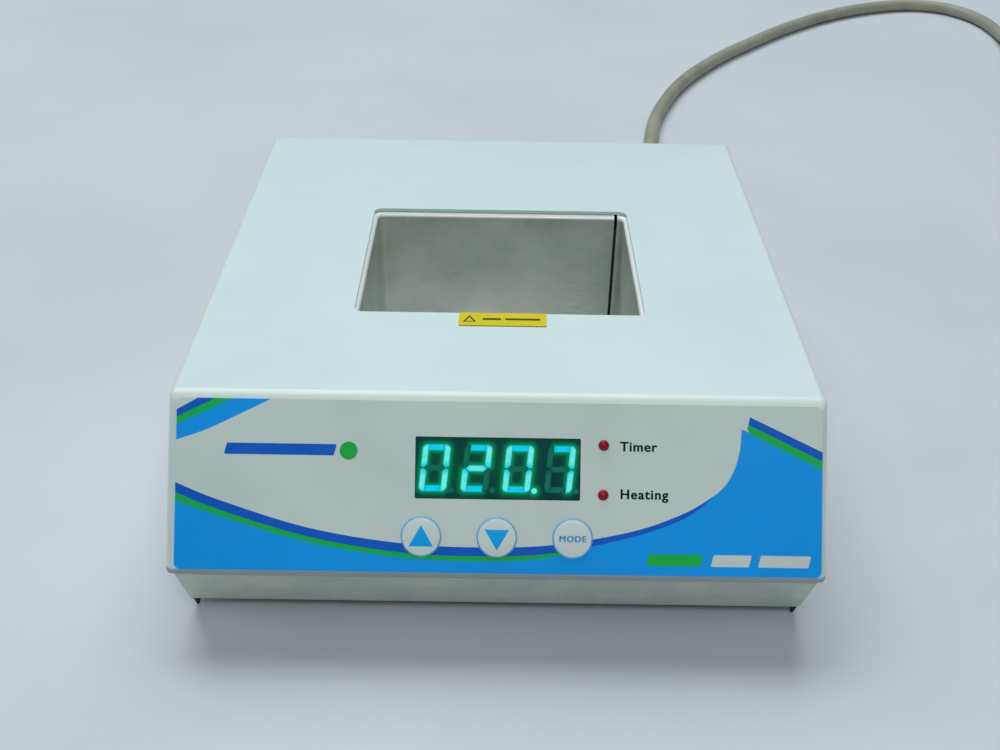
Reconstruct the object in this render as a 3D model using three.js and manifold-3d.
// Dry block heater: a bench unit that warms one metal tube block in an open well.
// Millimetres, +Z up, front facing -Y. The origin is on the bench, under the middle of the unit.

import * as THREE from 'three';
import { mergeVertices } from 'three/addons/utils/BufferGeometryUtils.js';
import Module from 'manifold-3d';

const wasm = await Module();
wasm.setup();

// ---------------------------------------------------------------- driving dimensions

const WIDTH = 202;              // cover, side to side
const HEIGHT = 74;              // bench to top face
const FOOT = { height: 5, tip: 0.4, edge: 0.7, root: 1.8, inset: 1.9, setback: 3 };
const TOP_LENGTH = 205;         // front bend of the top face to the rear wall
const PANEL_ANGLE = 55.43;      // control panel, degrees below the horizontal
const COVER_DROP = 46.6;        // top face to the lower edge of the cover
const SHEET = 1.2;              // sheet steel of cover and base
const GAP = 0.3;                // clearance between neighbouring pieces
const FRONT_BEND = 5.5;         // outer radius where the top face turns down into the panel
const BEND = 4;                 // outer radius of the cover's other bends at the rear
const SIDE_BEND = 2;            // outer radius where the top face turns down into the sides
const LIP_BEND = 1.5;           // outer radius where the panel folds back under into the lip
const LIP_RETURN = 9;           // the cover's lower lip turns in under the panel by this much
const LIP_CORNER = 2.6;         // rounding of the panel's two lower corners
const REAR_NOTCH = { left: -88, right: 94, top: 64 };
const COVER_SCREW = { along: [-72, 88], up: 5, shank: 1.4, head: 2.9 };
const REVEAL = 1.5;             // the base stands in from the cover by this much

const WELL = { width: 96.5, length: 77.5, depth: 50, middle: 4.3, sheet: 1, corner: 2.5 };
const OPENING = { width: 99.4, length: 80.8, corner: 3 };
const PLATE = { thickness: 6, clearance: 0.3 };
const RAIL = { out: 32.5, width: 7, pocket: 20 };
const LABEL = { width: 29.5, length: 8.6, across: 1 };
const MAIN_BOARD = { top: 14.6, thickness: 1.6 };

const OVERLAY = {
  left: -98, right: 99, top: 1.6, bottom: 53.6, corner: 3, lift: 0.25, thickness: 0.45,
};
const DISPLAY = { width: 50.3, height: 18.8, depth: 8, down: 21.8 };
const BUTTON = { radius: 6.15, spacing: 23.05, down: 42.5 };
const INDICATOR = { radius: 1.6, across: 32.2, downs: [14.2, 29.3] };
const BOARD = { half: 58, top: 6, bottom: 49, depth: 8.4, thickness: 1.6 };

const INLET = {
  across: 65, up: 39, width: 50, low: 27.8, high: 60.5, flange: 2.8, body: 24, bodyWidth: 27.6,
};
const INLET_SCREW = { across: 20, up: 44 };
const SOCKET = { width: 24.4, height: 16.4, depth: 17 };
const DRAWER = { width: 24, height: 7, up: 54.6, depth: 12, clearance: 0.6 };
const ROCKER = { across: 12, up: 45, half: 7, width: 10.6, tilt: 9, body: 20 };
const VENTS = { count: 8, first: -74, pitch: 9, width: 3, low: 38, high: 58 };

const CORD = { diameter: 8.4, sides: 8 };
const COIL = { x: -32, y: 178, inner: 37.7, outer: 46.3, lift: 1.3 };

// ---------------------------------------------------------------- derived places

const radians = THREE.MathUtils.degToRad;
const PANEL_TAN = Math.tan(radians(PANEL_ANGLE));
const PANEL_COS = Math.cos(radians(PANEL_ANGLE));
const PANEL_SIN = Math.sin(radians(PANEL_ANGLE));
const COVER_LOW = HEIGHT - COVER_DROP;
const PANEL_RUN = COVER_DROP / PANEL_TAN;
const PANEL_LENGTH = COVER_DROP / PANEL_SIN;
const TOP_FRONT_Y = -86.5;
const LIP_Y = TOP_FRONT_Y - PANEL_RUN;
const REAR_Y = TOP_FRONT_Y + TOP_LENGTH;
const BASE_LOW = FOOT.height;
const BASE_HALF = WIDTH / 2 - REVEAL;
const BASE_REAR = REAR_Y - REVEAL;
const BASE_WALL_TOP = COVER_LOW + 9.6;
const PLATE_FACE_Y = BASE_REAR;                     // outer face of the rear panel
const LINER_TOP = HEIGHT - SHEET - GAP;
const WELL_FLOOR = LINER_TOP - WELL.depth;
const PLATE_LOW = WELL_FLOOR - PLATE.thickness;
const BASE_FLOOR = BASE_LOW + SHEET;
const BOARD_FACE = GAP - BOARD.depth;               // what stands on the control board starts here
const SPARE = 10;                                   // how far a cutting shape runs past what it cuts

// ---------------------------------------------------------------- materials

function finish(color, roughness, metalness) {
  return new THREE.MeshStandardMaterial({ color, roughness, metalness });
}

const PAINT = finish(0xdfe6e4, 0.35, 0.0);
const STEEL = finish(0xb4b8b6, 0.35, 0.9);
const ALUMINIUM = finish(0xc4c6c8, 0.4, 0.9);
const BRIGHT_STEEL = finish(0xc9ccce, 0.25, 1.0);
const FILM = finish(0x0d8ad6, 0.4, 0.0);
const SMOKED = finish(0x06302c, 0.1, 0.0);
const BLACK_PLASTIC = finish(0x1b1c1e, 0.5, 0.0);
const GREY_PLASTIC = finish(0x9a9a8e, 0.5, 0.0);
const LED_RED = finish(0x8a0f1c, 0.3, 0.0);
const BUTTON_GREY = finish(0xc8cfc8, 0.4, 0.0);
const RUBBER = finish(0x17181a, 0.8, 0.0);
const BOARD_GREEN = finish(0x1d6b3c, 0.5, 0.0);
const SILICONE = finish(0xb5482a, 0.6, 0.0);
const FIBRE = finish(0x4a4641, 0.95, 0.0);
const COPPER = finish(0xb87333, 0.4, 0.8);
const YELLOW = finish(0xf2dc1e, 0.45, 0.0);
const WIRE_BLACK = finish(0x16171a, 0.5, 0.0);
const WIRE_WHITE = finish(0xe8e8e4, 0.5, 0.0);
const WIRE_GREEN = finish(0x2f9d48, 0.5, 0.0);

// ---------------------------------------------------------------- shape helpers

// A closed geometry as a manifold solid: only its merged vertex positions matter.
function solid(geometry) {
  const bare = geometry.clone();
  bare.deleteAttribute('normal');
  bare.deleteAttribute('uv');
  const merged = mergeVertices(bare, 1e-4);
  const vertProperties = new Float32Array(merged.attributes.position.array);
  const triVerts = new Uint32Array(merged.index.array);
  return new wasm.Manifold(new wasm.Mesh({ numProp: 3, vertProperties, triVerts }));
}

function geometryOf(body) {
  const mesh = body.getMesh();
  const geometry = new THREE.BufferGeometry();
  geometry.setAttribute('position', new THREE.BufferAttribute(new Float32Array(mesh.vertProperties), 3));
  geometry.setIndex(new THREE.BufferAttribute(new Uint32Array(mesh.triVerts), 1));
  geometry.computeVertexNormals();
  return geometry;
}

function named(name, shape, material) {
  const geometry = shape.isBufferGeometry ? shape : geometryOf(shape);
  const mesh = new THREE.Mesh(geometry, material);
  mesh.name = name;
  return mesh;
}

function box([x0, x1], [y0, y1], [z0, z1]) {
  const geometry = new THREE.BoxGeometry(x1 - x0, y1 - y0, z1 - z0);
  return geometry.translate((x0 + x1) / 2, (y0 + y1) / 2, (z0 + z1) / 2);
}

function around(middle, size) {
  return [middle - size / 2, middle + size / 2];
}

// A polygon whose corners are rounded; each corner is [a, b] or [a, b, radius].
function roundedPolygon(corners) {
  const shape = new THREE.Shape();
  const count = corners.length;
  corners.forEach(([a, b, radius = 0], i) => {
    const here = new THREE.Vector2(a, b);
    const [beforeA, beforeB] = corners[(i + count - 1) % count];
    const [afterA, afterB] = corners[(i + 1) % count];
    const before = new THREE.Vector2(beforeA, beforeB).sub(here).normalize();
    const after = new THREE.Vector2(afterA, afterB).sub(here).normalize();
    const reach = radius / Math.tan(before.angleTo(after) / 2);
    const start = here.clone().addScaledVector(before, reach);
    const end = here.clone().addScaledVector(after, reach);
    if (i === 0) shape.moveTo(start.x, start.y);
    else shape.lineTo(start.x, start.y);
    if (radius > 0) shape.quadraticCurveTo(here.x, here.y, end.x, end.y);
  });
  shape.closePath();
  return shape;
}

function roundedRect([a0, a1], [b0, b1], radius) {
  return roundedPolygon([[a0, b0, radius], [a1, b0, radius], [a1, b1, radius], [a0, b1, radius]]);
}

function extrude(shape, depth, curveSegments = 4) {
  return new THREE.ExtrudeGeometry(shape, { depth, bevelEnabled: false, curveSegments });
}

// Prisms: the outline is drawn in the plane named by the two other axes.
function prismX(shapeYZ, [x0, x1], segments) {
  const basis = new THREE.Matrix4().makeBasis(
    new THREE.Vector3(0, 1, 0), new THREE.Vector3(0, 0, 1), new THREE.Vector3(1, 0, 0));
  return extrude(shapeYZ, x1 - x0, segments).applyMatrix4(basis).translate(x0, 0, 0);
}

function prismY(shapeXZ, [y0, y1], segments) {
  return extrude(shapeXZ, y1 - y0, segments).rotateX(Math.PI / 2).translate(0, y1, 0);
}

function prismZ(shapeXY, [z0, z1], segments) {
  return extrude(shapeXY, z1 - z0, segments).translate(0, 0, z0);
}

// A turned solid about +Z; the profile lists [radius, height] from the axis and back to it.
function turned(profile, sides = 20) {
  const points = profile.map(([r, h]) => new THREE.Vector2(r, h));
  return new THREE.LatheGeometry(points, sides).rotateX(Math.PI / 2);
}

function rod(radius, [z0, z1], sides = 16) {
  return turned([[0, z0], [radius, z0], [radius, z1], [0, z1]], sides);
}

// A round wire or cord through hand-placed points.
function tube(points, radius, steps, sides) {
  const section = new THREE.Shape();
  section.absarc(0, 0, radius, 0, 2 * Math.PI);
  const path = new THREE.CatmullRomCurve3(points.map((p) => new THREE.Vector3(...p)), false, 'centripetal');
  const options = { steps, bevelEnabled: false, extrudePath: path, curveSegments: Math.round(sides / 2) };
  return new THREE.ExtrudeGeometry(section, options);
}

// Places a shape made in the control panel's own plane: x across, y up the slope, z outwards.
function panelMatrix() {
  return new THREE.Matrix4()
    .makeTranslation(0, TOP_FRONT_Y, HEIGHT)
    .multiply(new THREE.Matrix4().makeRotationX(radians(PANEL_ANGLE)));
}

function onPanel(shape) {
  const geometry = shape.isBufferGeometry ? shape.clone() : geometryOf(shape);
  return geometry.applyMatrix4(panelMatrix());
}

// ---------------------------------------------------------------- cover

// Side outline of the cover, drawn `inset` inside its outer face.
function coverSide(inset, low) {
  const slopeShift = inset / PANEL_SIN;
  const top = HEIGHT - inset;
  const rear = REAR_Y - inset;
  const radius = BEND - inset;
  const bendY = TOP_FRONT_Y + slopeShift - inset / PANEL_TAN;
  const front = FRONT_BEND - inset;
  const lipY = LIP_Y + slopeShift + (low - COVER_LOW) / PANEL_TAN;
  const lip = inset > 0 ? 0.5 : LIP_BEND;
  return [[rear, low], [rear, top, radius], [bendY, top, front], [lipY, low, lip]];
}

function coverBlank(inset, low) {
  const half = WIDTH / 2 - inset;
  const radius = BEND - inset;
  const sideRadius = SIDE_BEND - inset;
  const side = prismX(roundedPolygon(coverSide(inset, low)), [-half, half], 5);
  const top = HEIGHT - inset;
  const rear = REAR_Y - inset;
  const below = low - SPARE;
  const front = LIP_Y - SPARE;
  const section = prismY(
    roundedPolygon([[-half, below], [half, below], [half, top, sideRadius], [-half, top, sideRadius]]),
    [front, REAR_Y + SPARE], 4);
  const plan = prismZ(
    roundedPolygon([[-half, front], [half, front], [half, rear, radius], [-half, rear, radius]]),
    [below, HEIGHT + SPARE], 4);
  return solid(side).intersect(solid(section)).intersect(solid(plan));
}

function screwPlaces() {
  const places = [];
  for (const side of [-1, 1]) {
    for (const y of COVER_SCREW.along) places.push({ side, y, z: COVER_LOW + COVER_SCREW.up });
  }
  return places;
}

function screwHoles(radius) {
  const drills = screwPlaces().map(({ side, y, z }) =>
    solid(rod(radius, [-6, 6], 12).rotateY(Math.PI / 2).translate(side * WIDTH / 2, y, z)));
  return drills.reduce((all, drill) => all.add(drill));
}

// Everything that shows through the panel, each hole `clear` larger all round than what fills it.
function panelHoles(clear, depth) {
  const screen = roundedRect(
    around(0, DISPLAY.width + 2 * clear), around(-DISPLAY.down, DISPLAY.height + 2 * clear), 0.5);
  let holes = solid(prismZ(screen, depth, 2));
  for (const across of [-BUTTON.spacing, 0, BUTTON.spacing]) {
    holes = holes.add(solid(rod(BUTTON.radius + clear, depth, 24).translate(across, -BUTTON.down, 0)));
  }
  for (const down of INDICATOR.downs) {
    holes = holes.add(solid(rod(INDICATOR.radius + clear, depth, 12).translate(INDICATOR.across, -down, 0)));
  }
  return holes;
}

function panelCutouts() {
  const sheet = [-3, 3];
  return solid(onPanel(panelHoles(0.4, sheet)));
}

// What is cut off the panel's lower corners to round them, drawn in the panel's plane.
function lipCorners() {
  const fold = radians(PANEL_ANGLE) / 2;
  const low = LIP_BEND / Math.tan(fold) - LIP_BEND - PANEL_LENGTH;      // the crest of the lip's fold
  const r = LIP_CORNER;
  const corners = [-1, 1].map((side) => {
    const edge = side * WIDTH / 2;
    const inner = edge - side * r;
    const outer = edge + side * 2;
    const across = [Math.min(inner, outer), Math.max(inner, outer)];
    const square = solid(box(across, [low - 4, low + r], [-7, 3]));
    return square.subtract(solid(rod(r, [-8, 5], 32).translate(inner, low + r, 0)));
  });
  return solid(onPanel(corners[0].add(corners[1])));
}

function topCover() {
  const lipFlange = COVER_LOW + SHEET;
  const outer = coverBlank(0, COVER_LOW);
  const inside = coverBlank(SHEET, lipFlange);
  const half = WIDTH / 2 - SHEET;
  const front = LIP_Y + LIP_RETURN;
  const rear = REAR_Y - SHEET;
  const radius = BEND - SHEET;
  const openBelow = solid(prismZ(
    roundedPolygon([[-half, front], [half, front], [half, rear, radius], [-half, rear, radius]]),
    [COVER_LOW - SPARE, lipFlange + 1], 4));
  const opening = solid(prismZ(
    roundedRect(around(0, OPENING.width), around(WELL.middle, OPENING.length), OPENING.corner),
    [HEIGHT - SPARE / 2, HEIGHT + SPARE], 4));
  const { left, right, top } = REAR_NOTCH;
  const notchLow = COVER_LOW - SPARE;
  const rearNotch = solid(prismY(
    roundedPolygon([[left, notchLow], [right, notchLow], [right, top, 2], [left, top, 2]]),
    [rear - 1, REAR_Y + SPARE], 2));
  return outer
    .subtract(inside)
    .subtract(openBelow)
    .subtract(opening)
    .subtract(rearNotch)
    .subtract(panelCutouts())
    .subtract(lipCorners())
    .subtract(screwHoles(1.8));
}

// ---------------------------------------------------------------- base

const CHIN_TOP_Y = LIP_Y + 2.6;                     // the front of the base leans back below the lip
const CHIN_FOOT_Y = CHIN_TOP_Y + 12;
const BASE_CORNER = 3;
const REAR_PANEL_TOP = 66;

function baseBlank(inset, low, high) {
  const half = BASE_HALF - inset;
  const rear = BASE_REAR - inset;
  const slope = (CHIN_FOOT_Y - CHIN_TOP_Y) / (COVER_LOW - GAP - BASE_LOW);
  const chin = (z) => CHIN_FOOT_Y - slope * (z - BASE_LOW) + inset * Math.hypot(1, slope);
  const front = CHIN_TOP_Y - SPARE;
  const radius = BASE_CORNER - inset;
  const side = prismX(
    roundedPolygon([[chin(low), low, 1.2], [rear, low, 1.2], [rear, high], [chin(high), high, 0.8]]),
    [-half, half], 3);
  const section = prismY(
    roundedPolygon([[-half, low, 1.5], [half, low, 1.5], [half, high + 1], [-half, high + 1]]),
    [front, BASE_REAR + SPARE], 3);
  const plan = prismZ(
    roundedPolygon([[-half, front], [half, front], [half, rear, radius], [-half, rear, radius]]),
    [low - 1, high + 1], 3);
  return solid(side).intersect(solid(section)).intersect(solid(plan));
}

function rearCutouts() {
  const through = [BASE_REAR - 5, BASE_REAR + 5];
  const inlet = prismY(
    roundedRect(around(INLET.across, INLET.bodyWidth + 0.8), [INLET.low + 1.4, INLET.high - 1.4], 1),
    through, 2);
  const rocker = prismY(
    roundedRect(around(ROCKER.across, 13.8), around(ROCKER.up, 19.8), 0.6), through, 2);
  let cuts = solid(inlet).add(solid(rocker));
  for (const side of [-1, 1]) {
    const across = INLET.across + side * INLET_SCREW.across;
    const hole = rod(1.8, [-6, 6], 12).rotateX(Math.PI / 2).translate(across, BASE_REAR, INLET_SCREW.up);
    cuts = cuts.add(solid(hole));
  }
  for (let i = 0; i < VENTS.count; i += 1) {
    const across = around(VENTS.first + VENTS.pitch * i, VENTS.width);
    cuts = cuts.add(solid(prismY(roundedRect(across, [VENTS.low, VENTS.high], 1.4), through, 3)));
  }
  return cuts;
}

function baseTray() {
  const rimTop = COVER_LOW - GAP;
  const tray = baseBlank(0, BASE_LOW, rimTop);
  const across = [-BASE_HALF, BASE_HALF];
  const upper = solid(box(across, [LIP_Y + 16, BASE_REAR], [rimTop - 1, BASE_WALL_TOP]));
  const rearPanel = solid(box(across, [BASE_REAR - SHEET, BASE_REAR], [rimTop - 1, REAR_PANEL_TOP]));
  const plan = (inset, front) => {
    const half = BASE_HALF - inset;
    const rear = BASE_REAR - inset;
    const radius = BASE_CORNER - inset;
    return roundedPolygon([[-half, front], [half, front], [half, rear, radius], [-half, rear, radius]]);
  };
  const corners = solid(prismZ(plan(0, LIP_Y - SPARE), [BASE_LOW - 1, HEIGHT], 3));
  const hollow = baseBlank(SHEET, BASE_FLOOR, rimTop - SHEET);
  const open = solid(prismZ(plan(SHEET, LIP_Y + LIP_RETURN - 1), [rimTop - SHEET - 1, HEIGHT], 3));
  return tray
    .add(upper.add(rearPanel).intersect(corners))
    .subtract(hollow)
    .subtract(open)
    .subtract(rearCutouts())
    .subtract(screwHoles(1.7));
}

function foot() {
  const top = FOOT.height - GAP;
  return turned([[0, 0], [FOOT.tip, 0], [FOOT.edge, 0.3], [FOOT.root, top], [0, top]], 14);
}

function feet() {
  const across = BASE_HALF - FOOT.inset;
  const front = CHIN_FOOT_Y + FOOT.setback;
  const rear = BASE_REAR - FOOT.setback;
  const places = {
    foot_front_left: [-across, front],
    foot_front_right: [across, front],
    foot_rear_left: [-across, rear],
    foot_rear_right: [across, rear],
  };
  return Object.entries(places).map(([name, [x, y]]) => named(name, foot().translate(x, y, 0), RUBBER));
}

function coverScrews() {
  const { shank, head } = COVER_SCREW;
  const profile = [
    [0, -6], [shank, -6], [shank, 0.3], [head, 0.3], [head, 1.2], [head - 0.7, 1.9], [0, 2.1]];
  return screwPlaces().map(({ side, y, z }, i) => {
    const screw = turned(profile, 14).rotateY(side * Math.PI / 2).translate(side * WIDTH / 2, y, z);
    return named(`cover_screw_${i + 1}`, screw, BRIGHT_STEEL);
  });
}

// ---------------------------------------------------------------- control panel

function frontOverlay() {
  const film = [OVERLAY.lift, OVERLAY.lift + OVERLAY.thickness];
  const sheet = prismZ(
    roundedRect([OVERLAY.left, OVERLAY.right], [-OVERLAY.bottom, -OVERLAY.top], OVERLAY.corner), film, 4);
  return onPanel(solid(sheet).subtract(panelHoles(0.3, [-2, 4])));
}

function displayWindow() {
  return onPanel(prismZ(
    roundedRect(around(0, DISPLAY.width), around(-DISPLAY.down, DISPLAY.height), 0.3),
    [OVERLAY.lift, OVERLAY.lift + OVERLAY.thickness], 2));
}

function displayModule() {
  return onPanel(box(
    around(0, DISPLAY.width), around(-DISPLAY.down, DISPLAY.height), [-DISPLAY.depth, -0.05]));
}

// A domed indicator lamp standing on the control board.
function indicator(down) {
  const r = INDICATOR.radius;
  const collar = r + 0.35;
  const profile = [
    [0, BOARD_FACE], [collar, BOARD_FACE], [collar, BOARD_FACE + 0.9], [r, BOARD_FACE + 0.9],
    [r, 0.5], [r * 0.8, 1.1], [r * 0.4, 1.4], [0, 1.5]];
  return onPanel(turned(profile, 12).translate(INDICATOR.across, -down, 0));
}

// A push key: a domed cap, a collar that stops under the sheet, and a stem into its switch.
function pushKey(across) {
  const r = BUTTON.radius;
  const profile = [
    [0, -5.3], [1.75, -5.3], [1.75, -2.6], [r + 1.1, -2.6], [r + 1.1, -1.7], [r, -1.7],
    [r, 0.8], [r * 0.93, 1.15], [r * 0.7, 1.35], [0, 1.5]];
  return onPanel(turned(profile, 24).translate(across, -BUTTON.down, 0));
}

function tactSwitch(across) {
  const body = solid(box(around(across, 6), around(-BUTTON.down, 6), [BOARD_FACE, -4.9]));
  const bore = solid(rod(2.05, [-6.5, -4], 14).translate(across, -BUTTON.down, 0));
  return onPanel(body.subtract(bore));
}

function controlBoard() {
  return onPanel(box(
    [-BOARD.half, BOARD.half], [-BOARD.bottom, -BOARD.top], [-BOARD.depth - BOARD.thickness, -BOARD.depth]));
}

// A bar at each end of the control board holds it off the back of the panel.
function boardBar(side) {
  return onPanel(box(
    around(side * (BOARD.half - 4), 5), [-BOARD.bottom + 3, -BOARD.top - 3], [BOARD_FACE, -SHEET - GAP]));
}

function controls() {
  const spots = { up: -BUTTON.spacing, down: 0, mode: BUTTON.spacing };
  const keys = Object.entries(spots).flatMap(([name, across]) => [
    named(`button_${name}`, pushKey(across), BUTTON_GREY),
    named(`switch_${name}`, tactSwitch(across), BLACK_PLASTIC),
  ]);
  return [
    named('front_overlay', frontOverlay(), FILM),
    named('display_window', displayWindow(), SMOKED),
    named('display_module', displayModule(), BLACK_PLASTIC),
    named('timer_lamp', indicator(INDICATOR.downs[0]), LED_RED),
    named('heating_lamp', indicator(INDICATOR.downs[1]), LED_RED),
    named('control_board', controlBoard(), BOARD_GREEN),
    named('board_bar_left', boardBar(-1), BLACK_PLASTIC),
    named('board_bar_right', boardBar(1), BLACK_PLASTIC),
    ...keys,
  ];
}

// ---------------------------------------------------------------- heated well

function wellOutline(grow, corner) {
  return roundedRect(around(0, WELL.width + 2 * grow), around(WELL.middle, WELL.length + 2 * grow), corner);
}

// Folded sheet sleeve: four walls, a flange under the top, and one corner left open as a seam.
function wellLiner() {
  const low = PLATE_LOW + 1;
  const wall = prismZ(wellOutline(WELL.sheet, WELL.corner + 1), [low, LINER_TOP], 4);
  const flange = prismZ(wellOutline(7, 5), [LINER_TOP - WELL.sheet, LINER_TOP], 4);
  const bore = prismZ(wellOutline(0, WELL.corner), [low - 5, LINER_TOP + 5], 4);
  const cornerX = WELL.width / 2;
  const cornerY = WELL.middle + WELL.length / 2;
  const seam = box([cornerX - 3.2, cornerX - 2], [cornerY - 1, cornerY + 12], [low - 5, LINER_TOP + 5]);
  return solid(wall).add(solid(flange)).subtract(solid(bore)).subtract(solid(seam));
}

function heaterPlate() {
  const clear = PLATE.clearance;
  return prismZ(wellOutline(-clear, WELL.corner - 0.2), [PLATE_LOW, WELL_FLOOR], 4);
}

// Two rails carry the plate above the base floor; each has a pocket for what senses the plate.
function plateRail(side) {
  const y = around(WELL.middle + side * RAIL.out, RAIL.width);
  const rail = solid(box([-46, 46], y, [BASE_FLOOR + GAP, PLATE_LOW - GAP]));
  const pocket = solid(box(around(RAIL.pocket, 26), [y[0] - 1, y[1] + 1], [BASE_FLOOR + 1.6, PLATE_LOW]));
  return rail.subtract(pocket);
}

function wellInsulation() {
  const outer = solid(prismZ(wellOutline(8, 6), [PLATE_LOW + 8, LINER_TOP - 6], 3));
  const inner = solid(prismZ(wellOutline(WELL.sheet + GAP, WELL.corner + 1.3), [0, HEIGHT], 3));
  return outer.subtract(inner);
}

function wellParts() {
  const across = around(0, 88);
  const along = around(WELL.middle, 54);
  const elementTop = PLATE_LOW - GAP;
  const padTop = elementTop - 2 - GAP;
  const sensorY = WELL.middle - RAIL.out;
  const cutoffY = WELL.middle + RAIL.out;
  const sensor = rod(2, [-10, 10], 12).rotateY(Math.PI / 2).translate(RAIL.pocket, sensorY, elementTop - 2);
  const cutoff = box(around(RAIL.pocket, 20), around(cutoffY, 6), [elementTop - 4.5, elementTop]);
  return [
    named('well_liner', wellLiner(), STEEL),
    named('heater_plate', heaterPlate(), ALUMINIUM),
    named('heating_element', box(across, along, [elementTop - 2, elementTop]), SILICONE),
    named('insulation_pad', box(across, along, [BASE_FLOOR + GAP, padTop]), FIBRE),
    named('well_insulation', wellInsulation(), FIBRE),
    named('plate_rail_front', plateRail(-1), STEEL),
    named('plate_rail_rear', plateRail(1), STEEL),
    named('temperature_sensor', sensor, BRIGHT_STEEL),
    named('thermal_cutoff', cutoff, BLACK_PLASTIC),
  ];
}

// ---------------------------------------------------------------- electronics

function transformer() {
  const core = solid(box([-86, -46], [76, 92], [MAIN_BOARD.top + GAP, 47]));
  const winding = solid(box([-78, -54], [67, 101], [20, 42]));
  return core.add(winding);
}

function heatSink() {
  const back = solid(box([-34, -31], [86, 103], [MAIN_BOARD.top + GAP, 40]));
  let body = back;
  for (let i = 0; i < 5; i += 1) {
    body = body.add(solid(box([-32, -18], [86 + 3.9 * i, 87.4 + 3.9 * i], [MAIN_BOARD.top + GAP, 40])));
  }
  return body;
}

function terminalBlock() {
  let body = solid(box([8, 36], [64, 74], [MAIN_BOARD.top + GAP, 26]));
  for (let i = 0; i < 4; i += 1) {
    body = body.subtract(solid(rod(2, [20, 30], 10).translate(11.5 + 7 * i, 69, 0)));
  }
  return body;
}

function electronics() {
  const boardLow = MAIN_BOARD.top - MAIN_BOARD.thickness;
  const rail = (y) => box([-90, 34], around(y, 4), [BASE_FLOOR + GAP, boardLow - GAP]);
  return [
    named('power_board', box([-92, 38], [60, 106], [boardLow, MAIN_BOARD.top]), BOARD_GREEN),
    named('power_board_rail_front', rail(64), BLACK_PLASTIC),
    named('power_board_rail_rear', rail(102), BLACK_PLASTIC),
    named('transformer', transformer(), COPPER),
    named('relay', box([-34, -16], [64, 80], [MAIN_BOARD.top + GAP, 30]), BLACK_PLASTIC),
    named('heat_sink', heatSink(), ALUMINIUM),
    named('triac', box([-39, -34.3], [90, 100], [20, 36]), BLACK_PLASTIC),
    named('terminal_block', terminalBlock(), WIRE_GREEN),
  ];
}

// The flat cable from the power board to the control board.
function ribbonCable() {
  const points = [
    [-76, 58, 18], [-76, 30, 16], [-76, -20, 16], [-74, -60, 18], [-66, -78, 26], [-48, -84, 34],
  ];
  const extrudePath = new THREE.CatmullRomCurve3(points.map((point) => new THREE.Vector3(...point)));
  const corners = [[-0.5, -7], [0.5, -7], [0.5, 7], [-0.5, 7]];
  const section = new THREE.Shape(corners.map(([a, b]) => new THREE.Vector2(a, b)));
  return new THREE.ExtrudeGeometry(section, { steps: 20, bevelEnabled: false, extrudePath });
}

function wiring() {
  const start = PLATE_FACE_Y - INLET.body - 1.2;
  const wire = (name, points, material) => named(name, tube(points, 1.1, 14, 6), material);
  return [
    wire('live_wire', [[58, start, 36], [50, 82, 34], [34, 84, 38], [14, 92, 40]], WIRE_BLACK),
    wire('neutral_wire', [[72, start, 36], [70, 80, 30], [50, 74, 24], [37.6, 70, 21]], WIRE_WHITE),
    wire('earth_wire', [[65, start, 43], [74, 78, 34], [84, 70, 18], [84, 62, 9]], WIRE_GREEN),
    wire('heater_lead', [
      [22, 62.6, 19], [23, 58, 18], [28, 54, 13.5], [40, 51, 10.5],
      [50, 46, 10.5], [51.5, 36, 11], [50, 24, 12.6], [45.2, 16, 14.8],
    ], WIRE_WHITE),
    named('ribbon_cable', ribbonCable(), GREY_PLASTIC),
  ];
}

// ---------------------------------------------------------------- rear inlet and switch

const INLET_FACE_Y = PLATE_FACE_Y + GAP + INLET.flange;

function inletBlade(across, up) {
  const cavityEnd = INLET_FACE_Y - SOCKET.depth;
  return box(around(INLET.across + across, 2), [cavityEnd - 1, cavityEnd + 14], around(INLET.up + up, 4));
}

const BLADES = [[-7, -2], [7, -2], [0, 2.5]];       // each contact, across and up from the inlet's middle

// Turns a screw-like shape to face the rear and puts it on the left or right of the inlet's flange.
function onInletFace(shape, side) {
  const across = INLET.across + side * INLET_SCREW.across;
  return shape.rotateX(-Math.PI / 2).translate(across, INLET_FACE_Y, INLET_SCREW.up);
}

function powerInlet() {
  const face = PLATE_FACE_Y + GAP;
  const outer = INLET_FACE_Y;
  const across = around(INLET.across, INLET.width);
  const flange = prismY(roundedRect(across, [INLET.low, INLET.high], 3), [face, outer], 3);
  const body = box(
    around(INLET.across, INLET.bodyWidth), [PLATE_FACE_Y - INLET.body, face + 1],
    [INLET.low + 1.8, INLET.high - 1.8]);
  const cavity = prismY(
    roundedRect(around(INLET.across, SOCKET.width), around(INLET.up, SOCKET.height), 2),
    [outer - SOCKET.depth, outer + SPARE], 2);
  const slot = box(
    around(INLET.across, DRAWER.width + DRAWER.clearance),
    [outer - DRAWER.depth - DRAWER.clearance, outer + SPARE],
    around(DRAWER.up, DRAWER.height + DRAWER.clearance));
  let inlet = solid(flange).add(solid(body)).subtract(solid(cavity)).subtract(solid(slot));
  for (const side of [-1, 1]) {
    const hole = turned([[0, -9], [1.8, -9], [1.8, -1.6], [3, -1.6], [3, 5], [0, 5]], 14);
    inlet = inlet.subtract(solid(onInletFace(hole, side)));
  }
  for (const [across, up] of BLADES) inlet = inlet.add(solid(inletBlade(across, up)));
  return inlet;
}

function inletScrews() {
  const profile = [[0, -10], [1.4, -10], [1.4, -1.3], [2.6, -1.3], [2.6, -0.4], [2, -0.1], [0, -0.1]];
  return [-1, 1].map((side, i) =>
    named(`inlet_screw_${i + 1}`, onInletFace(turned(profile, 14), side), BRIGHT_STEEL));
}

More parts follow.
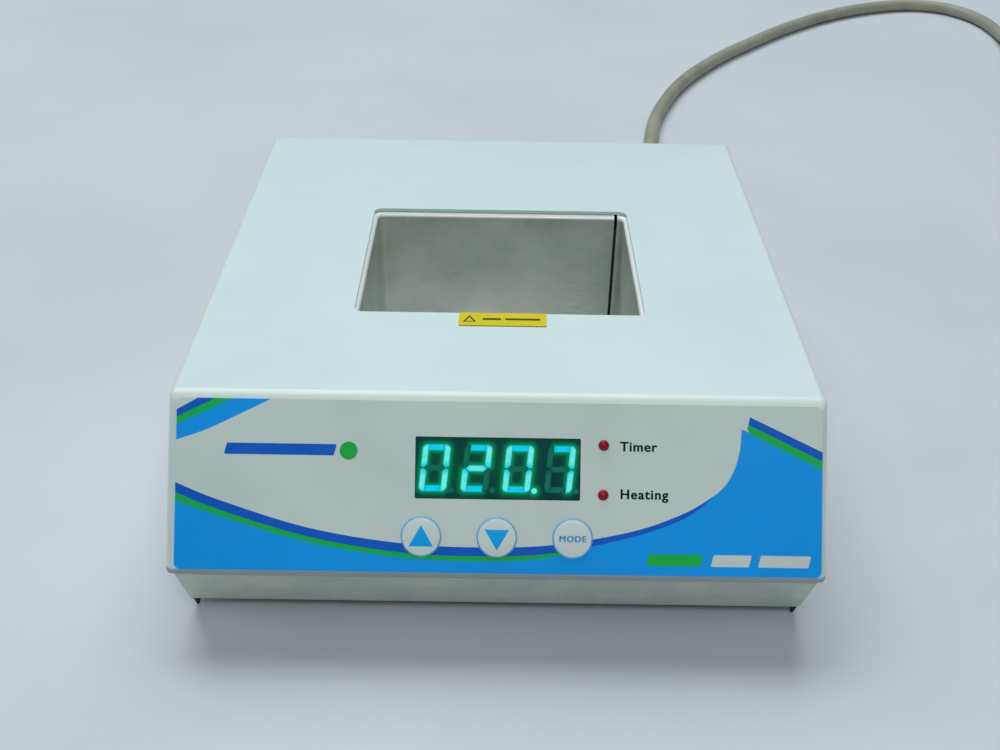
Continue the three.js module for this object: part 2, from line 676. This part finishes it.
function fuseDrawer() {
  const outer = INLET_FACE_Y;
  const tray = box(
    around(INLET.across, DRAWER.width), [outer - DRAWER.depth, outer + 0.2],
    around(DRAWER.up, DRAWER.height));
  const pocket = box(
    around(INLET.across, DRAWER.width - 2.8), [outer - 10.8, outer - 4.6],
    [DRAWER.up - 2.3, DRAWER.up + 5]);
  return solid(tray).subtract(solid(pocket));
}

function fuse() {
  const half = 10;
  const cap = half - 5;
  const profile = [
    [0, -half], [2.6, -half], [2.6, -cap], [2.3, 0.2 - cap],
    [2.3, cap - 0.2], [2.6, cap], [2.6, half], [0, half]];
  const lying = turned(profile, 12).rotateY(Math.PI / 2);
  return lying.translate(INLET.across, INLET_FACE_Y - 7.7, DRAWER.up + 0.6);
}

const ROCKER_PIVOT_Y = PLATE_FACE_Y - 3.7;          // the paddle turns about a line behind the panel

function rockerSwitch() {
  const face = PLATE_FACE_Y + GAP;
  const bezel = prismY(
    roundedRect(around(ROCKER.across, 15.4), around(ROCKER.up, 21.4), 1), [face, face + 1.8], 2);
  const body = box(around(ROCKER.across, 13), [PLATE_FACE_Y - ROCKER.body, face + 1], around(ROCKER.up, 19));
  const pocket = box(
    around(ROCKER.across, ROCKER.width + 0.7), [ROCKER_PIVOT_Y - 6, face + 9],
    around(ROCKER.up, 2 * ROCKER.half + 2.6));
  const bore = rod(1.3, [-6, 6], 12).rotateY(Math.PI / 2).translate(ROCKER.across, ROCKER_PIVOT_Y, ROCKER.up);
  return solid(bezel).add(solid(body)).subtract(solid(pocket)).subtract(solid(bore));
}

// The paddle at its ON stop, tipped about its own trunnions.
function rockerPaddle() {
  const h = ROCKER.half;
  const corners = [[0.5, h], [-3, 2.5], [-3, -2.5], [0.5, -h], [6.2, -h], [4.8, 0], [6.2, h]];
  const outline = new THREE.Shape(corners.map(([y, z]) => new THREE.Vector2(y, z)));
  const paddle = prismX(outline, around(0, ROCKER.width), 1);
  const trunnions = rod(1, [-5.8, 5.8], 12).rotateY(Math.PI / 2);
  const tipped = geometryOf(solid(paddle).add(solid(trunnions))).rotateX(radians(ROCKER.tilt));
  return tipped.translate(ROCKER.across, ROCKER_PIVOT_Y, ROCKER.up);
}

function rearParts() {
  return [
    named('power_inlet', powerInlet(), BLACK_PLASTIC),
    ...inletScrews(),
    named('fuse_drawer', fuseDrawer(), BLACK_PLASTIC),
    named('fuse', fuse(), BRIGHT_STEEL),
    named('rocker_switch', rockerSwitch(), BLACK_PLASTIC),
    named('rocker_paddle', rockerPaddle(), BLACK_PLASTIC),
  ];
}

// ---------------------------------------------------------------- mains lead

const FLOOR_LINE = CORD.diameter / 2 + 0.1;         // centre of the lead where it lies on the bench
const LEAD_START = [65, 163.3, 39];

// From the connector down to the coil, and from the coil out to the plug.
const LEAD_TO_COIL = [
  LEAD_START, [65, 170, 38.7], [64.8, 178, 37], [62.8, 188, 33.8], [58, 199, 28.8], [50.5, 209, 22.5],
  [41, 216.8, 16], [30, 221.8, 10.6], [18, 224, 7.2], [7, 224.3, 5.9], [-2.3, 224.3, 5.6],
];
const LEAD_TO_PLUG = [
  [20.9, 162.9, 13.9], [32, 172.8, 11.4], [43.5, 184, 7.6], [55, 197.5, 5], [66, 213.5, FLOOR_LINE],
  [76, 233, FLOOR_LINE], [84, 257, FLOOR_LINE], [89.1, 284.3, FLOOR_LINE], [95, 319.5, FLOOR_LINE],
  [107.5, 359.8, FLOOR_LINE], [119.5, 388, FLOOR_LINE], [135.8, 416.6, FLOOR_LINE], [156, 446, FLOOR_LINE],
  [179.7, 474.5, FLOOR_LINE], [202, 500, FLOOR_LINE], [226.1, 524, FLOOR_LINE], [249, 543.5, FLOOR_LINE],
  [272.6, 559, FLOOR_LINE], [295, 570, FLOOR_LINE], [316.1, 576.5, FLOOR_LINE], [332, 577, FLOOR_LINE],
  [347, 572, FLOOR_LINE], [359, 561, FLOOR_LINE], [367.5, 545, FLOOR_LINE], [371.5, 526, FLOOR_LINE],
  [372.4, 507.9, FLOOR_LINE], [371.4, 493, 5.6], [369.8, 479, 9.4], [369, 466, 12.3], [369, 456.3, 12.6],
];

function leadConnector() {
  const outer = INLET_FACE_Y;
  const nose = prismY(
    roundedRect(around(INLET.across, SOCKET.width - 1), around(INLET.up, SOCKET.height - 1), 1.8),
    [outer - SOCKET.depth + 0.6, outer + 1], 2);
  const grip = prismY(
    roundedRect(around(INLET.across, 26), around(INLET.up, 19), 4), [outer + GAP, outer + 24], 3);
  const reliefStart = outer + 23;
  const reliefLength = LEAD_START[1] - GAP - reliefStart;
  const relief = turned(
    [[0, 0], [8.2, 0], [7.4, 5], [5.6, 20], [5.4, reliefLength], [0, reliefLength]], 16)
    .rotateX(-Math.PI / 2).translate(INLET.across, reliefStart, INLET.up);
  let body = solid(nose).add(solid(grip)).add(solid(relief));
  for (const [across, up] of BLADES) {
    const slot = box(
      around(INLET.across + across, 2.8), [outer - SOCKET.depth, outer - 0.5], around(INLET.up + up, 4.8));
    body = body.subtract(solid(slot));
  }
  return body;
}

function leadCoil() {
  const inner = COIL.inner - CORD.diameter / 2;
  const outer = COIL.outer + CORD.diameter / 2;
  const low = COIL.lift;
  const high = low + 2 * CORD.diameter + 0.2;
  const ring = turned([[inner, low], [outer, low], [outer, high], [inner, high], [inner, low]], 40);
  return ring.translate(COIL.x, COIL.y, 0);
}

// A flat band wrapped once round the coil.
function coilTie() {
  const across = (COIL.inner + COIL.outer) / 2;
  const halfWidth = (COIL.outer - COIL.inner + CORD.diameter) / 2 + 2 * GAP;
  const top = COIL.lift + 2 * CORD.diameter + 0.2 + GAP;
  const band = (grow, low) =>
    roundedRect([-halfWidth - grow, halfWidth + grow], [low, top + grow], 0.2 + grow);
  const loop = solid(prismY(band(1, 0), [-4, 4], 2)).subtract(solid(prismY(band(0, 1), [-9, 9], 2)));
  return geometryOf(loop).translate(COIL.x - across, COIL.y, 0);
}

function mainsPlug() {
  const [x, neckY, up] = LEAD_TO_PLUG[LEAD_TO_PLUG.length - 1];
  const back = neckY - GAP;
  const face = back - 56;
  const body = solid(prismY(roundedRect(around(x, 26), around(up, 24.4), 6), [face, face + 32], 3));
  const neck = turned([[0, 0], [5.5, 0], [6, 6], [9.5, 25], [0, 25]], 16).rotateX(Math.PI / 2);
  let plug = body.add(solid(neck.translate(x, back, up)));
  for (const side of [-1, 1]) {
    plug = plug.add(solid(box(around(x + side * 6.35, 1.6), [face - 17, face + 1], around(up + 4.5, 6.3))));
  }
  const earthPin = rod(2.4, [-1, 20], 12).rotateX(Math.PI / 2).translate(x, face, up - 7.4);
  return plug.add(solid(earthPin));
}

function mainsLead() {
  const radius = CORD.diameter / 2;
  return [
    named('lead_connector', leadConnector(), GREY_PLASTIC),
    named('lead_to_coil', tube(LEAD_TO_COIL, radius, 10, CORD.sides), GREY_PLASTIC),
    named('lead_coil', leadCoil(), GREY_PLASTIC),
    named('lead_tie', coilTie(), BLACK_PLASTIC),
    named('lead_to_plug', tube(LEAD_TO_PLUG, radius, 40, CORD.sides), GREY_PLASTIC),
    named('mains_plug', mainsPlug(), GREY_PLASTIC),
  ];
}

// ---------------------------------------------------------------- assembly

function cautionLabel() {
  const front = WELL.middle - OPENING.length / 2;
  return box(
    around(LABEL.across, LABEL.width), [front - LABEL.length, front - 0.4], [HEIGHT + 0.2, HEIGHT + 0.4]);
}

const heater = new THREE.Group();
heater.add(
  named('top_cover', topCover(), PAINT),
  named('base_tray', baseTray(), PAINT),
  ...feet(),
  ...coverScrews(),
  named('caution_label', cautionLabel(), YELLOW),
  ...controls(),
  ...wellParts(),
  ...electronics(),
  ...wiring(),
  ...rearParts(),
  ...mainsLead(),
);

export default heater;
